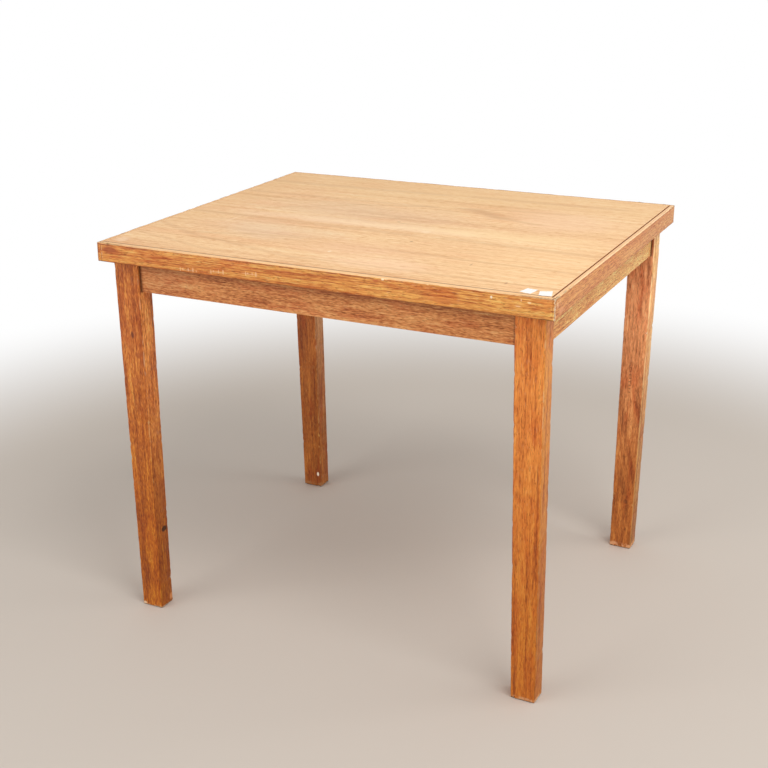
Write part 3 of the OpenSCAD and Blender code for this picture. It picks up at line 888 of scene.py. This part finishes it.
def legMaterial(name, look):
    m = Maker(name.replace("leg_", "legWood_"), look)
    lines = legLines(m, name)
    shade, rough, height = wood(m, lines)
    x, y, z, edge = [lines[key] for key in ("x", "y", "z", "edge")]

    def patchy(key, roughness):
        return m.noise((x * look[key][0], y * look[key][0], z * look[key][1] + look["seed"]), 3, roughness)

    # darker lower part, partly soil and partly painted shade, and painted light higher up, more so on the side that
    # faces right, where it is a painted sheen
    cover = z.rise("soilSpan") * look["soilAndShade"][1]
    shade = m.blend(cover, shade, look["soilAndShade"][0], "MULTIPLY")
    level = z.rise("fadeSpan")
    toRight = lines["sides"][0].rise(*look["rightSpans"][0]) * lines["across"].rise(*look["rightSpans"][1])
    faceLightGains = [m.blend(level, low + (1,), high + (1,)) for low, high in look["lightGains"]]
    shade = m.blend(1.0, shade, m.blend(toRight, *faceLightGains), "MULTIPLY")
    ragged = patchy("raggedScale", 0.6)
    outline = edge.rise("outlineSpan") * lines["across"].rise("outlineLeft")
    shade = m.paint(shade, outline * ragged.rise("outlineGaps"), "outline")
    # painted shade just below the rim
    shade = m.paint(shade, (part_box("rim_front")[0].z - z).rise("headSpan"), "headDirt")
    # painted shade beside the aprons
    shade = m.paint(shade, apronGapShade(name, lines), "grime")
    # the foot: rubbed bare low down, soiled on its arrises, with a painted contact shadow where it meets the floor
    flakes = patchy("flakeScale", 0.65)
    soiled = edge.rise("footEdge") * z.rise("footRise") * ragged.rise("footGaps")
    shade = m.paint(shade, soiled, "footDirt")
    high = look["footHigh"]
    bare = (z + (flakes - 0.5) * look["footRagged"]).rise(high, high * 0.5) * flakes.rise("footFlakes")
    shade = m.paint(shade, bare, look["footShade"], look["footShare"])
    shade = marked(m, lines, shade, look.get("footMarks", []), flakes)
    shade = m.paint(shade, (z + (flakes - 0.5) * look["contactShadeRagged"]).rise("soleSpan"), "sole")
    return m.finish(shade, rough + bare * look["footRough"], height)


legWear = dict(
    # as for the rim, and finer cuts at the foot; the wear leaves out the top of the leg
    step=0.007, firstCut=3, reach=0.0045,
    footLevels=(0.003, 0.005, 0.008, 0.012, 0.016), footStep=0.004,
    footReach=0.006,
    layers=[
        ("rubbing", 0.035, 0.0010, 1.6, 1.0),
        ("chips", 0.008, 0.0026, 5.0, 0.1),
    ],
    arris=0.7, headKept=0.022,
)


def wornLeg(name):
    piece = startWorn(name)
    low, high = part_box(name)
    up = Vector((0, 0, 1))
    count = int(high.z / legWear["step"])
    cut(piece, [up * (high.z * (i + 0.5) / count) for i in range(legWear["firstCut"], count)], up)
    cut(piece, [up * level for level in legWear["footLevels"]], up)
    footTop = legWear["footLevels"][-1]
    for axis, normal in ((0, Vector((1, 0, 0))), (1, Vector((0, 1, 0)))):
        number = int((high[axis] - low[axis]) / legWear["footStep"])
        spots = [normal * (low[axis] + legWear["footStep"] * (i + 0.5)) for i in range(number)]
        cut(piece, spots, normal, lambda centre: centre.z < footTop)
    apronLevel, sidesAt = legSides(name)

    def closeness(spot):
        sides = []
        for axis in (0, 1):
            near, far = sidesAt(max(0.0, 1 - spot.z / apronLevel), axis)
            sides.append(min(spot[axis] - near, far - spot[axis]))
        arris = (1 - max(sides) / legWear["reach"]) * legWear["arris"] * (spot.z < high.z - legWear["headKept"])
        sole = 1 - max(min(sides), spot.z) / legWear["footReach"]
        return max(arris, sole)

    finishWorn(piece, name, closeness, legWear["layers"])


legs = {
    # each leg's painted light and shade: its gains low down and high up, on the face to the front and on the one to
    # the right
    "leg_front_left": dict(
        seed=41.3, tint=(1.3, 1.22, 0.97), redShare=0.3,
        shares=(0.3, 0.38, 0.28, 0.3),
        lightGains=[((0.9, 0.94, 0.42), (0.94, 0.96, 1.02)), ((0.62, 0.6, 0.2), (1.38, 1.7, 2.4))],
        swaySize=0.022, heart=(0.012, 0.05), ringSize=0.0062,
        marks=[
            mark((-0.377, -0.326, 0.558), (0.004, 0.01, 0.009), (96, 44, 30), 0.75),
            mark((-0.368, -0.326, 0.521), (0.009, 0.01, 0.007), (150, 62, 34), 0.5),
            mark((-0.385, -0.325, 0.43), (0.004, 0.01, 0.05), (120, 60, 30), 0.5, streaky=True),
            mark((-0.357, -0.306, 0.163), (0.012, 0.0105, 0.007), (70, 34, 20), 0.9, core=0.6),
            mark((-0.357, -0.305, 0.24), (0.02, 0.012, 0.05), (160, 84, 44), 0.35),
        ],
        footHigh=0.005, footShare=0.6,
        footMarks=[
            mark((-0.360, -0.297, 0.014), (0.008, 0.009, 0.009), (214, 142, 86), 0.8, ragged=1.6),
            mark((-0.399, -0.325, 0.004), (0.007, 0.01, 0.004), (246, 214, 176), 0.8, ragged=1.4),
        ],
        knots=[((0.163, 0.020, 0.002), (0.012, 0.012, 0.012))],
    ),
    "leg_front_right": dict(
        seed=46.1, tint=(1.26, 1.19, 0.95), streak=(8, 320),
        speck=(70, 420), footHigh=0.009,
        footMarks=[
            mark((0.394, -0.327, 0.006), (0.0035, 0.01, 0.0028), (255, 222, 184), 0.9),
        ],
        lightGains=[((0.89, 0.94, 0.7), (1.08, 1.15, 1.4)), ((0.74, 0.84, 0.7), (0.95, 1.2, 1.5))],
        swayAlong=1.6, heart=(0.16, 0.22), ringSize=0.003,
        shares=(0.4, 0.4, 0.3, 0.3),
        redShare=0.4,
        marks=[
            # painted shade of a small gap at the leg's head, just below the rim
            mark((0.402, -0.326, 0.6925), (0.003, 0.01, 0.0026), (52, 28, 18), 0.9),
            mark((0.398, -0.326, 0.42), (0.0016, 0.01, 0.05), (140, 70, 36), 0.6),
        ],
        stops=[
            (0.0, colour(164, 86, 34)), (0.32, colour(204, 120, 52)),
            (0.66, colour(218, 136, 62)), (1.0, colour(230, 152, 76)),
        ],
    ),
    "leg_back_left": dict(
        seed=52.7, tint=(1.5, 1.45, 1.05),
        lightGains=[((0.94, 1.06, 0.72), (0.83, 0.8, 0.65)), ((1.01, 1.24, 1.06), (1.15, 2.1, 4.2))],
        swaySize=0.008, swayAlong=1.4, heart=(0.14, 0.2),
        stops=[
            (0.0, colour(124, 62, 34)), (0.32, colour(150, 84, 46)),
            (0.66, colour(168, 98, 56)), (1.0, colour(186, 116, 70)),
        ],
        footHigh=0.011, footShade=colour(176, 122, 76),
        footMarks=[
            mark((-0.356, 0.282, 0.032), (0.0036, 0.01, 0.0062), (255, 238, 214), 1.0, ragged=0.5, core=0.6),
        ],
    ),
    "leg_back_right": dict(
        seed=57.9, tint=(1.4, 1.5, 1.3),
        lightGains=[((0.92, 0.95, 0.75), (1.46, 1.82, 2.9)), ((0.8, 1.04, 1.04), (1.4, 2.3, 3.3))],
        footHigh=0.013, footShade=colour(232, 172, 124), footShare=0.85,
        wornWidth=0.0028, wornSpan=(0.35, 0.5),
        wornShade=colour(244, 176, 112), heart=(-0.09, 0.16), lean=0.10,
        ringSize=0.0052,
        stops=[
            (0.0, colour(134, 72, 38)), (0.32, colour(170, 98, 54)),
            (0.66, colour(192, 116, 66)), (1.0, colour(210, 138, 84)),
        ],
        marks=[
            mark((0.376, 0.288, 0.108), (0.007, 0.01, 0.009), (92, 46, 26), 0.7),
            mark((0.376, 0.288, 0.108), (0.003, 0.01, 0.005), (170, 100, 56), 0.8),
            mark((0.380, 0.288, 0.045), (0.003, 0.01, 0.006), (98, 48, 28), 0.7),
        ] + [
            mark((0.372, 0.288, 0.353 + 0.0075 * i), (0.0035, 0.01, 0.0014), (96, 48, 30), 0.7)
            for i in range(8)
        ],
    ),
}
for name, own in legs.items():
    dress(name, legMaterial(name, {**legLook, **own}))
    wornLeg(name)
print("legs")

rawLook = dict(
    woodLook,
    heart=(0.06, 0.12), swayAlong=3.0, lean=0.004, ringSize=0.0036,
    shares=(0.4, 0.5, 0.4, 0.4),
    stops=[
        (0.0, colour(190, 142, 90)), (0.4, colour(212, 168, 116)),
        (1.0, colour(228, 188, 138)),
    ],
    red=colour(244, 220, 206), redShare=0.4, deep=colour(214, 176, 140),
    dark=colour(186, 140, 100), pores=0.5, wornWidth=0.001,
    wornSpan=(0.4, 0.6), wornShade=colour(234, 200, 154), wornShare=0.4,
    rough=0.62, bump=(0.0002, 0.5),
)


def rawMaterial(name, grain, look):
    m = Maker("rawWood_" + name, look)
    lines = boardLines(m, name, grain)
    shade, rough, height = wood(m, lines)
    return m.finish(shade, rough, height)


rawParts = [
    "back_veneer", "block_front_left", "block_front_right", "block_back_left", "block_back_right",
    "apron_dowels", "mitre_keys", "top_buttons",
]
for name in rawParts:
    own = {"seed": 61 + 3.7 * len(name)}
    if name == "back_veneer":
        own.update({"heart": (0.5, 0.4), "ringSize": 0.012})
    dress(name, rawMaterial(name, "x", {**rawLook, **own}))

# pressed chips of wood, seen only in the groove, where they are dark
coreLook = dict(
    scale=(300, 900),
    stops=[(0.3, colour(120, 84, 52)), (0.7, colour(178, 138, 94))],
    rough=0.75, bump=(0.0003, 0.5), wallSpan=(0.0, 0.0003),
    wallIn=0.0004, wallFrom=(0.70, 0.72),
    rightWall=(colour(156, 86, 24), 0.9),
    frontWall=(colour(150, 104, 66), 0.8),
)


def coreMaterial(look):
    m = Maker("boardCore", look)
    x, y, z = m.place()
    flat, tall = look["scale"]
    chip = m.noise((x * flat, y * flat, z * tall), 3, 0.6)
    shade = m.ramp(chip, look["stops"])
    low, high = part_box("top_veneer")
    upper = z.rise("wallFrom")
    rightWall = (x - (high.x - look["wallIn"])).rise("wallSpan") * upper
    shade = m.paint(shade, rightWall, "rightWall")
    frontWall = ((low.y + look["wallIn"]) - y).rise("wallSpan") * upper
    shade = m.paint(shade, frontWall, "frontWall")
    return m.finish(shade, look["rough"], chip)


dress("top_core", coreMaterial(coreLook))
print("hidden wood")

steelLook = dict(
    stops=[(0.3, colour(150, 152, 152)), (0.7, colour(192, 193, 190))],
    bloomScale=220, scratchScale=(1600, 260),
    rust=(colour(134, 88, 54), 0.5),
    rustScale=90, rustSpan=(0.62, 0.74),
    # roughness of clean steel, and what bloom and rust add
    rough=(0.34, 0.2, 0.25), rustDull=0.6, bump=(0.00005, 0.3),
)


def steelMaterial(look):
    m = Maker("dulledZinc", look)
    x, y, z = m.place()
    size = look["bloomScale"]
    bloom = m.noise((x * size, y * size, z * size), 3, 0.6)
    fine, coarse = look["scratchScale"]
    scratch = m.noise((x * fine, y * coarse, z * fine))
    size = look["rustScale"]
    rust = m.noise((x * size + 4, y * size, z * size), 3, 0.7).rise("rustSpan")
    shade = m.paint(m.ramp(bloom, look["stops"]), rust, "rust")
    clean, byBloom, byRust = look["rough"]
    rough = clean + bloom * byBloom + rust * byRust
    return m.finish(shade, rough, scratch, 1 - rust * look["rustDull"])


zinc = steelMaterial(steelLook)
for name in ("block_screws", "hanger_bolts", "bolt_washers", "bolt_nuts", "button_screws"):
    dress(name, zinc)
print("steel")

labelLook = dict(
    thickness=0.00018, lift=0.00018, liftedFrom=(0.6, 0.75, 0.9),
    cuts=9,
    places=[
        # middle of the label, its size and its turn in degrees
        ((0.3735, -0.3200), (0.0185, 0.0230), -12),
        ((0.4015, -0.3232), (0.0195, 0.0235), 15),
    ],
    stops=[(0.3, colour(240, 238, 232)), (0.7, colour(250, 249, 245))],
    pulpScale=900,
    grime=(colour(214, 204, 186), 0.3),
    grimeScale=160, grimeSpan=(0.55, 0.75), rough=0.6,
    bump=(0.00003, 0.4),
)


def paperMaterial(look):
    m = Maker("blankPaper", look)
    x, y, z = m.place()
    size = look["pulpScale"]
    pulp = m.noise((x * size, y * size, z * size), 3, 0.6)
    size = look["grimeScale"]
    grime = m.noise((x * size, y * size, 3.0)).rise("grimeSpan")
    shade = m.paint(m.ramp(pulp, look["stops"]), grime, "grime")
    return m.finish(shade, look["rough"], pulp)


def paperLabel(name, at, size, turn, material):
    deselectAll()
    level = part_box("top_veneer")[1].z
    bpy.ops.mesh.primitive_plane_add(size=1, location=(at[0], at[1], level + labelLook["thickness"]))
    label = bpy.context.object
    label.name = name
    bpy.ops.object.mode_set(mode="EDIT")
    bpy.ops.transform.resize(value=(size[0], size[1], 1))
    bpy.ops.mesh.subdivide(number_cuts=labelLook["cuts"])
    bpy.ops.mesh.select_mode(type="VERT")
    # two corners lift a little, more towards the tip
    for reach in labelLook["liftedFrom"]:
        bpy.ops.mesh.select_all(action="DESELECT")
        bpy.ops.object.mode_set(mode="OBJECT")
        for vertex in label.data.vertices:
            vertex.select = abs(vertex.co.x / size[0] + vertex.co.y / size[1]) > reach
        bpy.ops.object.mode_set(mode="EDIT")
        bpy.ops.transform.translate(value=(0, 0, labelLook["lift"]))
    bpy.ops.object.mode_set(mode="OBJECT")
    label.rotation_euler.z = math.radians(turn)
    thick = label.modifiers.new("thickness", "SOLIDIFY")
    thick.thickness = labelLook["thickness"]
    bpy.ops.object.modifier_apply(modifier=thick.name)
    bpy.ops.object.transform_apply(location=True, rotation=True, scale=True)
    label.data.materials.append(material)
    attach(label, "root")


paper = paperMaterial(labelLook)
for number, (at, size, turn) in enumerate(labelLook["places"], 1):
    paperLabel(f"paper_label_{number}", at, size, turn, paper)
print("labels")

studio = dict(
    floor=colour(205, 195, 184), floorSize=24, fadeFrom=1.05,
    fadeTo=2.1, world=0.55,
    lamps=[
        # name, place, size and power; each looks at the middle of the table
        ("keyLamp", (1.7, -1.15, 3.3), 1.5, 48),
        ("fillLamp", (-2.0, -3.0, 1.6), 2.4, 40),
        ("sideLamp", (3.2, 0.8, 1.8), 2.0, 30),
    ],
    aim=(0, 0, 0.45),
)


def makeFloor():
    deselectAll()
    bpy.ops.mesh.primitive_plane_add(size=studio["floorSize"], location=(0, 0, 0))
    floor = bpy.context.object
    floor.name = "floor"
    m = Maker("paleFloor")
    x, y = m.place()[:2]
    far = (x ** 2 + y ** 2).root().rise(studio["fadeFrom"], studio["fadeTo"])
    matte = m.add("BsdfPrincipled", {}, {"Base Color": studio["floor"], "Roughness": 0.9})
    white = m.add("Emission", {}, {"Color": (1, 1, 1, 1), "Strength": 1.0})
    floor.data.materials.append(m.surface(m.add("MixShader", {}, {0: far * m.seenPlain(), 1: matte, 2: white})))


def makeWorld():
    m = Maker("studio", kind="worlds")
    light, white = [
        m.add("Background", {}, {"Color": (1, 1, 1, 1), "Strength": strength})
        for strength in (studio["world"], 1.0)
    ]
    mix = m.add("MixShader", {}, {0: m.seenPlain(), 1: light, 2: white})
    bpy.context.scene.world = m.surface(mix, "OutputWorld")


def makeLamps():
    aim = Vector(studio["aim"])
    for name, at, size, power in studio["lamps"]:
        data = bpy.data.lights.new(name, "AREA")
        data.shape = "SQUARE"
        data.size = size
        data.energy = power
        lamp = bpy.data.objects.new(name, data)
        bpy.context.scene.collection.objects.link(lamp)
        lamp.location = at
        lamp.rotation_euler = (aim - Vector(at)).to_track_quat("-Z", "Y").to_euler()


cameraLook = dict(
    at=(0.999815, -2.040736, 1.269292), yaw=0.4695, pitch=0.3608,
    roll=0.0134, lens=58.855,
)


def makeCamera():
    data = bpy.data.cameras.new("camera")
    data.sensor_width = 36
    data.lens = cameraLook["lens"]
    camera = bpy.data.objects.new("camera", data)
    bpy.context.scene.collection.objects.link(camera)
    camera.matrix_world = (
        Matrix.Translation(cameraLook["at"])
        @ Matrix.Rotation(cameraLook["yaw"], 4, "Z")
        @ Matrix.Rotation(math.pi / 2 - cameraLook["pitch"], 4, "X")
        @ Matrix.Rotation(-cameraLook["roll"], 4, "Z")
    )
    bpy.context.scene.camera = camera


makeFloor()
makeWorld()
makeLamps()
makeCamera()
bpy.context.scene.view_settings.view_transform = "Standard"
print("studio")
